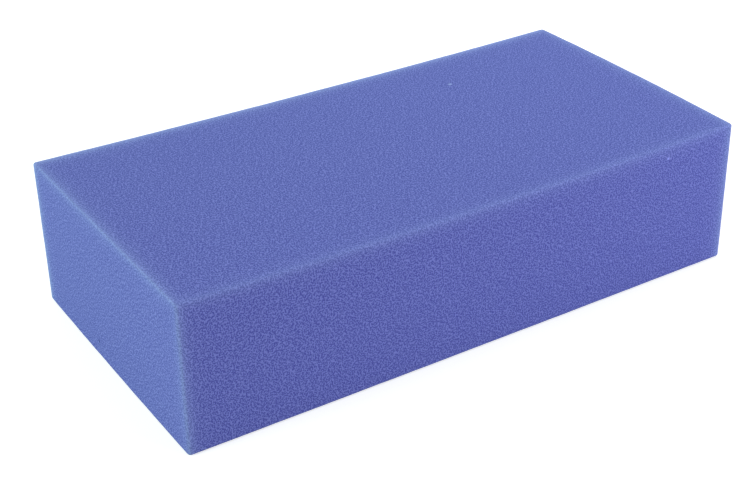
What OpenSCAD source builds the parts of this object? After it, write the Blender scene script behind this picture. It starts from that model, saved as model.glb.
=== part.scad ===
// Grooming sponge: one block of open-cell foam, cut on its six sides and left as cut.
// Millimetres, +Z up, X along the block and Y across it. The origin lies in the resting face,
// under the middle of the block.
//
// The block is one closed skin, built up from rings. Each ring is the block's outline in plan,
// drawn in from the sides and lifted to its height: the first rings round the lower edges, the
// next ones round the upper edges, and the last ones close in over the top. The cut faces aren't
// true planes, because foam gives way under the blade: the top dips and falls away, the ends and
// the long sides bow out, and the long sides lean.

/* [Block] */
// Length, over the middles of the two ends
block_length = 200; // [80:1:320]
// Width, over the middles of the two long sides, at any one height
block_width = 98.6; // [50:0.2:200]
// Height, at the middle of each end's top edge
block_height = 49.1; // [25:0.1:120]

/* [Cut faces] */
// How far the top dips between its two ends
top_dip = 0.9; // [0:0.1:4]
// How far the top falls from its middle line to its long edges
top_fall = 0.4; // [0:0.1:4]
// How far the middle of each end stands out past that end's corners
end_crown = 0.25; // [0:0.05:3]
// How far the middle of each long side stands out past that side's corners
side_crown = 0.2; // [0:0.05:3]
// How far the top stands back from the resting face, along Y
side_lean = 1.3; // [0:0.1:6]

/* [Softened edges] */
// Radius of the four upright corners
corner_radius = 1.8; // [0.5:0.1:12]
// Radius of the edges round the top
top_edge_radius = 1.2; // [0.3:0.1:10]
// Radius of the edges round the resting face
base_edge_radius = 1.5; // [0.3:0.1:10]

/* [Smoothness] */
// Straight steps along each bowed side
side_steps = 12; // [4:1:24]
// Straight steps round each softened edge and corner
edge_steps = 6; // [2:1:12]
// Rings that close in over the top
cap_steps = 8; // [3:1:16]

/* [Hidden] */
foam_blue = "#7080b8";
least_corner = 0.05; // an upright corner keeps this radius where an edge is rounder than it
spare = 2; // how far the skin runs on below the resting face, where it is then cut off flat

// Which way corner number k lies from the middle: 0 is right front, 1 right back, 2 left back
// and 3 left front
function quadrant(k) = [sign(cos(90 * k - 45)), sign(sin(90 * k - 45))];

// Quarter circle at corner k of the plan, set in from the block's sides by inset
function corner(k, inset) = let (
        radius = max(corner_radius - inset, least_corner),
        reach = [block_length, block_width] / 2 - [1, 1] * (inset + radius)
    )
    [for (i = [0 : edge_steps])
        let (turn = 90 * (k - 1 + i / edge_steps))
        [quadrant(k).x * reach.x, quadrant(k).y * reach.y] + radius * [cos(turn), sin(turn)]];

// Points between a and b, which are left out themselves
function between(a, b) = [for (i = [1 : side_steps - 1]) a + (b - a) * i / side_steps];

// Plan outline with straight sides, set in by inset: each corner, then the side that follows it
function outline(inset) = [for (k = [0 : 3])
    let (here = corner(k, inset), next = corner((k + 1) % 4, inset))
    each concat(here, between(here[edge_steps], next[0]))];

// Moves a plan point towards the middle lines, by a parabola along each side, so that the ends
// and the long sides bow out and their corners stand back
function bowed(p) = [
    p.x * (1 - end_crown / (block_length / 2) * pow(p.y / (block_width / 2), 2)),
    p.y * (1 - side_crown / (block_width / 2) * pow(p.x / (block_length / 2), 2))
];

// Height of the top over a plan point: a parabola that dips along X and one that falls along Y
function top_at(p) = block_height
    - top_dip * (1 - pow(p.x / (block_length / 2), 2))
    - top_fall * pow(p.y / (block_width / 2), 2);

// Puts a plan point at a height, moved along Y by its share of the lean
function lifted(p, z) = [p.x, p.y + side_lean * (z / block_height - 0.5), z];

// Ring below the lower edge, where the spare skin ends
function foot_ring() = [for (p = outline(base_edge_radius)) lifted(bowed(p), -spare)];

// Ring on the lower edge: turn goes from 0 at the resting face to 90 at the side
function base_ring(turn) = [for (p = outline(base_edge_radius * (1 - sin(turn))))
    lifted(bowed(p), base_edge_radius * (1 - cos(turn)))];

// Ring on the upper edge: turn goes from 0 at the side to 90 at the top
function top_ring(turn) = [for (p = outline(top_edge_radius * (1 - cos(turn))))
    lifted(bowed(p), top_at(p) - top_edge_radius * (1 - sin(turn)))];

// Ring on the top, at a share of the way from its middle to its edge
function cap_ring(share) = [for (p = outline(top_edge_radius) * share)
    lifted(bowed(p), top_at(p))];

// Closed skin through all the rings, with a flat foot and a single point in the middle of the top
module skin() {
    rings = concat(
        [foot_ring()],
        [for (i = [0 : edge_steps]) base_ring(90 * i / edge_steps)],
        [for (i = [0 : edge_steps]) top_ring(90 * i / edge_steps)],
        [for (i = [1 : cap_steps - 1]) cap_ring(1 - i / cap_steps)]
    );
    middle = [0, 0];
    around = len(rings[0]);
    last = len(rings) - 1;
    foot = [for (i = [0 : around - 1]) i];
    walls = [for (j = [0 : last - 1], i = [0 : around - 1])
        let (a = j * around + i, b = j * around + (i + 1) % around)
        [a, a + around, b + around, b]];
    cap = [for (i = [0 : around - 1])
        [last * around + i, (last + 1) * around, last * around + (i + 1) % around]];
    polyhedron(
        points = concat([for (ring = rings) each ring], [lifted(middle, top_at(middle))]),
        faces = concat([foot], walls, cap)
    );
}

module foam_block() {
    color(foam_blue)
        difference() {
            skin();
            translate([-block_length, -block_width, -2 * spare])
                cube([2 * block_length, 2 * block_width, 2 * spare]);
        }
}

foam_block();
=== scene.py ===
# Grooming sponge: one block of blue open-cell foam, sawn on its six sides and left raw.
# The frame is in metres, with +Z up, X along the block and Y across it. The block's sizes and its
# finish are in millimetres, and the studio and the camera's place are in metres.
import math

import bmesh
import bpy
import numpy as np
from mathutils import Matrix, Vector


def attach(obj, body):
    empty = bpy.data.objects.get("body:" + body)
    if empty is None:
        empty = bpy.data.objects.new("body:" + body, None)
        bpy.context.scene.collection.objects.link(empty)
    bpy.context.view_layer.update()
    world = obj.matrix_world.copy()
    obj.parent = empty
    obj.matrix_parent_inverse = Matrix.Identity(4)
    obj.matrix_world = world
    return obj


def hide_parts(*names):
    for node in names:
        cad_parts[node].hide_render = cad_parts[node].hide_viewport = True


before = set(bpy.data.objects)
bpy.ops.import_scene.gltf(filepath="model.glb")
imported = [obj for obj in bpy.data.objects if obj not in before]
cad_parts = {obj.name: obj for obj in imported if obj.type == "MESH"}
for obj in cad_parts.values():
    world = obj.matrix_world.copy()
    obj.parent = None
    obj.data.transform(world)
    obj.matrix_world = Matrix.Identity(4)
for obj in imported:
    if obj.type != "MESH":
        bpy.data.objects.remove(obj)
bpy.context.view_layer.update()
print("frame: loaded", sorted(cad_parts))

mm = 0.001


def linearColour(code):
    # sRGB hex to linear light: a straight line in the deep shadows and a power of 2.4 above them
    shares = [int(code[i:i + 2], 16) / 255 for i in (1, 3, 5)]
    return [s / 12.92 if s <= 0.04045 else ((s + 0.055) / 1.055) ** 2.4 for s in shares] + [1.0]


def addNode(tree, kind, settings=None, inputs=None):
    # settings are the node's own properties; an input is named or numbered, and takes a value or a link
    node = tree.nodes.new(kind)
    for name, value in (settings or {}).items():
        setattr(node, name, value)
    for name, value in (inputs or {}).items():
        if isinstance(value, bpy.types.NodeSocket):
            tree.links.new(value, node.inputs[name])
        else:
            node.inputs[name].default_value = value
    return node


foamBlock = {
    "length": 200.0,        # over the middles of the two ends
    "width": 98.6,          # over the middles of the two long sides
    "height": 49.1,         # at the middle of each end's top edge
    "topDip": 0.9,          # how far the top sags between its ends
    "topFall": 0.4,         # how far it falls towards the long edges
    "endCrown": 0.25,       # how far the ends bow out
    "sideCrown": 0.2,       # how far the long sides bow out
    "sideLean": 1.3,        # how far the top stands back from the base
    "cornerRadius": 1.2,    # the four upright corners, and no less than the base edge
    "topEdgeRadius": 0.7,
    "baseEdgeRadius": 1.1,
    "gridStep": 0.95,       # spacing of the mesh over the flat faces
    "arcSteps": 6,          # steps round each half of an upright corner, and round each edge
    "weld": 0.002,          # points closer than this are one point
    "pitPitch": 2.1,        # the largest cells that the saw opened, as real dents in the mesh
    "pitDepth": 0.02,
    "pitReach": 0.62,       # how far a dent spreads from its middle, as a share of the pitch
    "waveDepth": 0.03,      # slow unevenness that the blade left, and the range of its wavelengths
    "waveLongest": 60.0,
    "waveShortest": 6.0,
    "waveCount": 80,
    "edgeReach": 1.4,       # how far in from an edge its line of painted glow fades
    "edgeShare": 0.09,      # how strong that line of painted glow is
    "glowReach": 1.7,       # painted glow, standing for light that enters a bright side and comes out again this close beside it
    "leftGlow": 0.18,       # how much painted glow each side puts on the foam beside it
    "rightGlow": 0.34,
    "backGlow": 0.6,
    "frontGlow": 0.06,
    "topGlow": 0.05,
    "seed": 7,
}


def sidePlaces(half, radius, step, arcSteps):
    # Places along one side of the outline: even steps over the straight part, then radius times the
    # tangent of 0 to 45 degrees over each end, which come out as even steps round the corner's arc
    core = half - radius
    straight = np.linspace(-core, core, round(2 * core / step) + 1)
    bend = core + radius * np.tan(np.linspace(0, math.pi / 4, arcSteps + 1)[1:])
    return np.concatenate([-bend[::-1], straight, bend])


def cellDistance(points, pitch, rng):
    # Distance from each point to the nearest of many scattered cell centres, one somewhere in each
    # cube of a lattice of that pitch, as a share of the pitch. Only the 27 cubes round a point count.
    low = points.min(axis=0) - 2 * pitch
    cells = np.floor((points - low) / pitch).astype(int)
    counts = cells.max(axis=0) + 3
    centres = rng.random((*counts, 3))
    nearest = np.full(len(points), np.inf)
    for shift in np.ndindex(3, 3, 3):
        cell = cells + np.array(shift) - 1
        away = (low - points) / pitch + cell + centres[cell[:, 0], cell[:, 1], cell[:, 2]]
        nearest = np.minimum(nearest, np.sqrt((away ** 2).sum(axis=1)))
    return nearest


def slowWaves(points, longest, shortest, count, rng):
    # A sum of cosines in random directions and phases, with wavelengths between two sizes, scaled to
    # run between about -1 and 1
    directions = rng.normal(size=(count, 3))
    directions /= np.linalg.norm(directions, axis=1, keepdims=True)
    lengths = np.exp(rng.uniform(math.log(shortest), math.log(longest), count))
    phases = rng.uniform(0, 2 * math.pi, count)
    turns = points @ (directions * (2 * math.pi / lengths)[:, None]).T + phases
    return np.cos(turns).sum(axis=1) / math.sqrt(2 * count)


def blockSurface(size):
    # The block as three grids: a wall, which is one upright profile carried round the outline of the
    # plan, and a top and a base, which fill that outline. Every point is its outline's core point,
    # held inside the corner centres, plus a step out from it that is shorter where an edge rounds in.
    # Returns the points, their outward directions, the quads, the painted glow of each point near an
    # edge, and the place of each quad's corners on the flat map of its cut.
    radius = size["cornerRadius"]
    topR = size["topEdgeRadius"]
    baseR = size["baseEdgeRadius"]
    half = np.array([size["length"], size["width"]]) / 2
    height = size["height"]
    step = size["gridStep"]
    xs = sidePlaces(half[0], radius, step, size["arcSteps"])
    ys = sidePlaces(half[1], radius, step, size["arcSteps"])

    # Outline, counterclockwise from the left front corner, as points of a sharp rectangle
    front = np.stack([xs, np.full(len(xs), -half[1])], axis=1)
    right = np.stack([np.full(len(ys), half[0]), ys], axis=1)
    loop = np.concatenate([front[:-1], right[:-1], -front[:-1], -right[:-1]])

    # Upright profile: inset from the side, share of the height, offset from it, slope of the surface
    turn = np.linspace(0, math.pi / 2, size["arcSteps"] + 1)
    climb = np.linspace(0, 1, round((height - topR - baseR) / step) + 1)[1:-1]
    inset = np.concatenate([baseR * (1 - np.sin(turn)), 0 * climb, topR * (1 - np.cos(turn))])
    share = np.concatenate([0 * turn, climb, 0 * turn + 1])
    offset = np.concatenate([
        baseR * (1 - np.cos(turn)), baseR - climb * (topR + baseR), -topR * (1 - np.sin(turn))])
    slope = np.concatenate([turn - math.pi / 2, 0 * climb, turn])

    def layOut(plan, inset, share, offset, slope):
        # The top's parabolas dip along X and fall along Y, those of the sides bow them out, and the
        # lean moves a point along Y by its share of the height
        core = np.clip(plan, radius - half, half - radius)
        step = plan - core
        length = np.linalg.norm(step, axis=-1)
        outward = step / np.maximum(length, 1e-9)[..., None]
        reach = np.abs(step).max(axis=-1) * (radius - inset) / radius
        flat = core + outward * reach[..., None]
        x = flat[..., 0]
        y = flat[..., 1]
        top = height - size["topDip"] * (1 - (x / half[0]) ** 2) - size["topFall"] * (y / half[1]) ** 2
        z = share * top + offset
        bowedX = x * (1 - size["endCrown"] / half[0] * (y / half[1]) ** 2)
        bowedY = y * (1 - size["sideCrown"] / half[1] * (x / half[0]) ** 2)
        leaned = bowedY + size["sideLean"] * (z / height - 0.5)
        points = np.stack([bowedX, leaned, z], axis=-1)
        normals = np.concatenate(
            [outward * np.cos(slope)[..., None], (np.sin(slope) + 0 * z)[..., None]], axis=-1)
        # A point is on an edge where two of the three sides meet, so its second smallest distance counts
        gaps = np.stack([half[0] - np.abs(x), half[1] - np.abs(y), top - z], axis=-1)
        second = np.sort(np.maximum(gaps, 0), axis=-1)[..., 1]
        # Painted glow, standing for light through the foam: a bright side's glow fades with the distance
        # from it and is left out on that side itself
        glow = 0
        for name, gap, axis in (("left", half[0] + x, 0), ("right", half[0] - x, 0),
                                ("back", half[1] - y, 1), ("front", half[1] + y, 1),
                                ("top", top - z, 2)):
            beside = 1 - normals[..., axis] ** 4
            glow = np.maximum(glow, size[name + "Glow"] * np.exp(-gap / size["glowReach"]) * beside)
        paintedGlow = glow + size["edgeShare"] * np.exp(-second / size["edgeReach"])
        return points.reshape(-1, 3), normals.reshape(-1, 3), paintedGlow.reshape(-1)

    rows, around = len(inset), len(loop)
    ring = np.zeros(around)
    wall = layOut(np.broadcast_to(loop, (rows, around, 2)), inset[:, None] + ring,
                  share[:, None] + ring, offset[:, None] + ring, slope[:, None] + ring)
    grid = np.stack(np.meshgrid(xs, ys, indexing="ij"), axis=-1)
    flat = np.zeros(grid.shape[:2])
    top = layOut(grid, flat + topR, flat + 1, flat, flat + math.pi / 2)
    base = layOut(grid, flat + baseR, flat, flat, flat - math.pi / 2)

    # Quads of the wall wrap round, and all run counterclockwise seen from outside
    r, a = np.meshgrid(np.arange(rows - 1), np.arange(around), indexing="ij")
    b = (a + 1) % around
    lower, upper = r * around, (r + 1) * around
    wallQuads = np.stack([lower + a, lower + b, upper + b, upper + a], axis=-1)
    i, j = np.meshgrid(np.arange(len(xs) - 1), np.arange(len(ys) - 1), indexing="ij")
    n = len(ys)
    topQuads = np.stack([i * n + j, (i + 1) * n + j, (i + 1) * n + j + 1, i * n + j + 1], axis=-1)
    shift = rows * around
    quads = np.concatenate([
        wallQuads.reshape(-1, 4),
        topQuads.reshape(-1, 4) + shift,
        topQuads.reshape(-1, 4)[:, ::-1] + shift + grid.shape[0] * grid.shape[1]])
    points, normals, paintedGlow = (np.concatenate(parts) for parts in zip(wall, top, base))

    # The map keeps true lengths: round the outline and up the profile for the wall, X and Y for the top
    # and the base, which are moved aside so that no cut repeats another's pattern
    middle = wall[0].reshape(rows, around, 3)[rows // 2]
    along = np.cumsum(np.linalg.norm(np.diff(middle, axis=0, append=middle[:1]), axis=1))
    along = np.concatenate([[0], along])
    up = np.concatenate([[0], np.cumsum(np.hypot(np.diff(inset), np.diff(share * height + offset)))])
    wallMap = np.stack([along[np.stack([a, a + 1, a + 1, a], axis=-1)],
                        up[np.stack([r, r, r + 1, r + 1], axis=-1)]], axis=-1)
    flatMap = top[0][topQuads.reshape(-1, 4), :2] + size["length"]
    cutMap = np.concatenate([
        wallMap.reshape(-1, 2), flatMap.reshape(-1, 2),
        flatMap[:, ::-1].reshape(-1, 2) + [size["length"], 0]])
    return points, normals, quads, paintedGlow, cutMap


def buildFoamBlock(size):
    points, normals, quads, paintedGlow, cutMap = blockSurface(size)
    rng = np.random.default_rng(size["seed"])
    cells = cellDistance(points, size["pitPitch"], rng)
    waves = slowWaves(points, size["waveLongest"], size["waveShortest"], size["waveCount"], rng)
    # Dents are deepest at the middle of a cell and fade out at its walls; nothing goes below the base
    dents = -size["pitDepth"] * np.clip(1 - cells / size["pitReach"], 0, 1)
    points = points + normals * (dents + size["waveDepth"] * waves)[:, None]
    points[:, 2] = np.maximum(points[:, 2], 0)

    mesh = bpy.data.meshes.new("sawnFoamBlock")
    mesh.from_pydata((points * mm).tolist(), [], quads.tolist())
    glowAttribute = mesh.attributes.new("paintedEdgeGlow", "FLOAT", "POINT")
    glowAttribute.data.foreach_set("value", paintedGlow.astype(np.float32))
    layer = mesh.uv_layers.new(name="cutMap")
    layer.data.foreach_set("uv", (cutMap * mm).astype(np.float32).ravel())
    shell = bmesh.new()
    shell.from_mesh(mesh)
    bmesh.ops.remove_doubles(shell, verts=shell.verts, dist=size["weld"] * mm)
    bmesh.ops.recalc_face_normals(shell, faces=shell.faces)
    shell.to_mesh(mesh)
    shell.free()
    mesh.shade_smooth()
    block = bpy.data.objects.new("sawnFoamBlock", mesh)
    bpy.context.scene.collection.objects.link(block)
    print("foam block:", len(mesh.vertices), "points,", len(mesh.polygons), "faces")
    return block


foamFinish = {
    "strut": "#757dca",       # cut cell walls, which catch the light: the foam's colour with painted light on it
    "pore": "#494ca2",        # inside the open cells: the foam's colour with painted shade in it
    "edge": "#b2d0ff",        # painted glow, standing for foam with light coming through it
    "cellSize": 0.64,         # pitch of the cells; finer ones would not show, so they are this coarse
    "cellTurn": 0.5,          # radians, which keep rows of cells out of line with the edges
    "cellScatter": 1.0,       # how unevenly the cells are spaced, from 0 to 1
    "raggedSize": 0.4,        # torn ends of the cell walls, which break up the net of them
    "raggedShare": 1.6,
    "poreLevel": 0.98,        # the pattern's sum where a pore is darkest, and where a strut is palest
    "strutLevel": 1.45,
    "bumpDepth": 0.008,       # shallow, because the pores' own colour already holds their shade
    "roughness": 0.95,
    "sheen": 0.2,             # haze of loose cell ends at low angles
    "sheenRoughness": 0.5,
    "sheenTint": "#a6dbff",
}
# Single cells that stand out: a deep one low on the left end, whose dark colour is painted shade in its
# hollow, a bright one towards the back of the top and a bright one high on the front
oddCells = [
    {"place": (-100.0, 8.5, 5.9), "radius": 0.75, "colour": "#343c84"},
    {"place": (42.3, 28.0, 48.2), "radius": 0.85, "colour": "#8e9fd8"},
    {"place": (72.1, -48.7, 44.0), "radius": 0.6, "colour": "#8f98e8"},
]


def sawnFoam(finish, oddCells):
    # Open-cell polyurethane foam, sawn: the blade leaves every cell open, so the face is a fine net of
    # struts round pores, with no gloss and a soft haze at low angles. The struts' lighter colour is
    # painted light, the pores' darker colour is painted shade, and a painted glow lies along the edges.
    material = bpy.data.materials.new("openCellPolyurethaneFoamSawn")
    material.use_nodes = True
    tree = material.node_tree
    tree.nodes.clear()
    place = addNode(tree, "ShaderNodeTexCoord").outputs["Object"]
    # The cells are drawn flat on each cut, because a slice through cells in space would look blotchy.
    # A point far from every cell's middle is on a strut, and one close to a middle is in a pore.
    cut = addNode(tree, "ShaderNodeUVMap", {"uv_map": "cutMap"}).outputs["UV"]
    turned = addNode(tree, "ShaderNodeMapping", {}, {
        "Vector": cut, "Rotation": (0.0, 0.0, finish["cellTurn"])}).outputs["Vector"]
    cells = addNode(tree, "ShaderNodeTexVoronoi", {"feature": "F1", "voronoi_dimensions": "2D"}, {
        "Vector": turned, "Scale": 1 / (finish["cellSize"] * mm),
        "Randomness": finish["cellScatter"]}).outputs["Distance"]
    ragged = addNode(tree, "ShaderNodeTexNoise", {"noise_dimensions": "2D"}, {
        "Vector": cut, "Scale": 1 / (finish["raggedSize"] * mm), "Detail": 0.0}).outputs["Fac"]
    mixed = addNode(tree, "ShaderNodeMath", {"operation": "MULTIPLY_ADD"}, {
        0: ragged, 1: finish["raggedShare"], 2: cells}).outputs[0]
    # From pore to strut across each cell: the cell pattern, with painted shade in the pores and painted
    # light on the struts
    tone = addNode(tree, "ShaderNodeMapRange", {}, {
        "Value": mixed, "From Min": finish["poreLevel"],
        "From Max": finish["strutLevel"]}).outputs["Result"]
    body = addNode(tree, "ShaderNodeMix", {"data_type": "RGBA"}, {
        0: tone, 6: linearColour(finish["pore"]), 7: linearColour(finish["strut"])}).outputs[2]
    for cell in oddCells:
        away = addNode(tree, "ShaderNodeVectorMath", {"operation": "DISTANCE"}, {
            0: place, 1: Vector(cell["place"]) * mm}).outputs["Value"]
        # Its colour is full out to half its radius and gone at the whole of it
        share = addNode(tree, "ShaderNodeMapRange", {}, {
            "Value": away, "From Min": 0.5 * cell["radius"] * mm, "From Max": cell["radius"] * mm,
            "To Min": 1.0, "To Max": 0.0}).outputs["Result"]
        body = addNode(tree, "ShaderNodeMix", {"data_type": "RGBA"}, {
            0: share, 6: body, 7: linearColour(cell["colour"])}).outputs[2]
    # Painted glow: edges, and sides next to bright ones, are mixed towards a light colour standing for
    # light through the foam
    paintedGlow = addNode(tree, "ShaderNodeAttribute", {"attribute_name": "paintedEdgeGlow"}).outputs["Fac"]
    colour = addNode(tree, "ShaderNodeMix", {"data_type": "RGBA"}, {
        0: paintedGlow, 6: body, 7: linearColour(finish["edge"])}).outputs[2]
    bump = addNode(tree, "ShaderNodeBump", {}, {
        "Strength": 1.0, "Distance": finish["bumpDepth"] * mm, "Height": tone}).outputs["Normal"]
    shader = addNode(tree, "ShaderNodeBsdfPrincipled", {}, {
        "Base Color": colour, "Roughness": finish["roughness"], "Specular IOR Level": 0.0,
        "Sheen Weight": finish["sheen"], "Sheen Roughness": finish["sheenRoughness"],
        "Sheen Tint": linearColour(finish["sheenTint"]), "Normal": bump})
    addNode(tree, "ShaderNodeOutputMaterial", {}, {"Surface": shader.outputs["BSDF"]})
    print("finish:", material.name, "with", len(oddCells), "odd cells")
    return material


block = buildFoamBlock(foamBlock)
block.data.materials.append(sawnFoam(foamFinish, oddCells))
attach(block, "root")
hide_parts("foam_block")

studio = {
    "worldColour": "#ffffff",
    "worldStrength": 0.31,
    "floorColour": "#d8d8d8",
    "floorSize": 6.0,
    "floorGlow": 0.62,      # beside the block, where its shadow has to show
    "whiteFrom": 0.3,       # how far out the floor starts to turn plain white, and where it is so
    "whiteBy": 1.2,
}
# Square lamps, with their power in watts, all turned to the middle of the block
lampAim = (0, 0, 0.02)
lamps = {
    "left": {"place": (-1.3, 0.15, 0.5), "side": 1.0, "power": 18.7, "colour": "#eaffe1"},
    "right": {"place": (0.4, -0.6, 0.15), "side": 0.4, "power": 3.3, "colour": "#fffefb"},
    "overhead": {"place": (0.35, 0.1, 0.6), "side": 0.5, "power": 1.85, "colour": "#fbf0ff"},
    "back": {"place": (0.2, 1.2, 0.15), "side": 0.9, "power": 6.0, "colour": "#ffffff"},
}
camera = {
    "sensor": 36.0,         # width in millimetres, as the lens is
    "nearest": 0.01,        # nothing closer than this is seen
    "place": (-0.23262, -0.34924, 0.25536),
    "aim": (-0.00771, -0.00128, 0.01542),
    "roll": -0.137,         # degrees
    "lens": 71.459,
}


def facing(place, aim, roll=0.0):
    # Turns an object's -Z towards the aim with +Y up, then rolls it about that line
    look = (Vector(aim) - Vector(place)).to_track_quat("-Z", "Y").to_matrix()
    return (look @ Matrix.Rotation(math.radians(roll), 3, "Z")).to_4x4()


def backdropShare(tree):
    # 1 for the rays that see the white backdrop: those of the camera, of mirrors and of glass
    path = addNode(tree, "ShaderNodeLightPath").outputs
    share = path["Is Camera Ray"]
    for ray in ("Is Glossy Ray", "Is Transmission Ray"):
        larger = addNode(tree, "ShaderNodeMath", {"operation": "MAXIMUM"}, {0: share, 1: path[ray]})
        share = larger.outputs[0]
    return share


def buildStudio(studio, lamps):
    world = bpy.data.worlds.new("softRoom")
    bpy.context.scene.world = world
    world.use_nodes = True
    tree = world.node_tree
    tree.nodes.clear()
    light = addNode(tree, "ShaderNodeBackground", {}, {
        "Color": linearColour(studio["worldColour"]), "Strength": studio["worldStrength"]})
    seen = addNode(tree, "ShaderNodeBackground", {}, {"Color": (1, 1, 1, 1), "Strength": 1.0})
    either = addNode(tree, "ShaderNodeMixShader", {}, {
        0: backdropShare(tree), 1: light.outputs[0], 2: seen.outputs[0]})
    addNode(tree, "ShaderNodeOutputWorld", {}, {"Surface": either.outputs[0]})

    half = studio["floorSize"] / 2
    mesh = bpy.data.meshes.new("studioFloor")
    corners = [(-half, -half, 0), (half, -half, 0), (half, half, 0), (-half, half, 0)]
    mesh.from_pydata(corners, [], [(0, 1, 2, 3)])
    floor = bpy.data.objects.new("studioFloor", mesh)
    bpy.context.scene.collection.objects.link(floor)
    # Matt white paper, with no gloss: it takes a faint shadow and turns plain white further out
    material = bpy.data.materials.new("whitePaperSweep")
    material.use_nodes = True
    tree = material.node_tree
    tree.nodes.clear()
    paper = addNode(tree, "ShaderNodeBsdfDiffuse", {}, {"Color": linearColour(studio["floorColour"])})
    place = addNode(tree, "ShaderNodeTexCoord").outputs["Object"]
    away = addNode(tree, "ShaderNodeVectorMath", {"operation": "LENGTH"}, {0: place}).outputs["Value"]
    strength = addNode(tree, "ShaderNodeMapRange", {}, {
        "Value": away, "From Min": studio["whiteFrom"], "From Max": studio["whiteBy"],
        "To Min": studio["floorGlow"], "To Max": 1.0}).outputs["Result"]
    glow = addNode(tree, "ShaderNodeEmission", {}, {"Color": (1, 1, 1, 1), "Strength": strength})
    both = addNode(tree, "ShaderNodeAddShader", {}, {0: paper.outputs[0], 1: glow.outputs[0]})
    either = addNode(tree, "ShaderNodeMixShader", {}, {
        0: backdropShare(tree), 1: paper.outputs[0], 2: both.outputs[0]})
    addNode(tree, "ShaderNodeOutputMaterial", {}, {"Surface": either.outputs[0]})
    mesh.materials.append(material)

    for name, lamp in lamps.items():
        data = bpy.data.lights.new(name + "Lamp", "AREA")
        data.shape = "SQUARE"
        data.size = lamp["side"]
        data.energy = lamp["power"]
        data.color = linearColour(lamp["colour"])[:3]
        light = bpy.data.objects.new(name + "Lamp", data)
        light.matrix_world = Matrix.Translation(lamp["place"]) @ facing(lamp["place"], lampAim)
        bpy.context.scene.collection.objects.link(light)
    print("studio: floor and", len(lamps), "lamps")


def placeCamera(settings):
    data = bpy.data.cameras.new("camera")
    data.lens = settings["lens"]
    data.sensor_width = settings["sensor"]
    data.clip_start = settings["nearest"]
    viewer = bpy.data.objects.new("camera", data)
    turn = facing(settings["place"], settings["aim"], settings["roll"])
    viewer.matrix_world = Matrix.Translation(settings["place"]) @ turn
    bpy.context.scene.collection.objects.link(viewer)
    bpy.context.scene.camera = viewer
    print("camera: placed")


buildStudio(studio, lamps)
placeCamera(camera)
bpy.context.scene.view_settings.view_transform = "Standard"
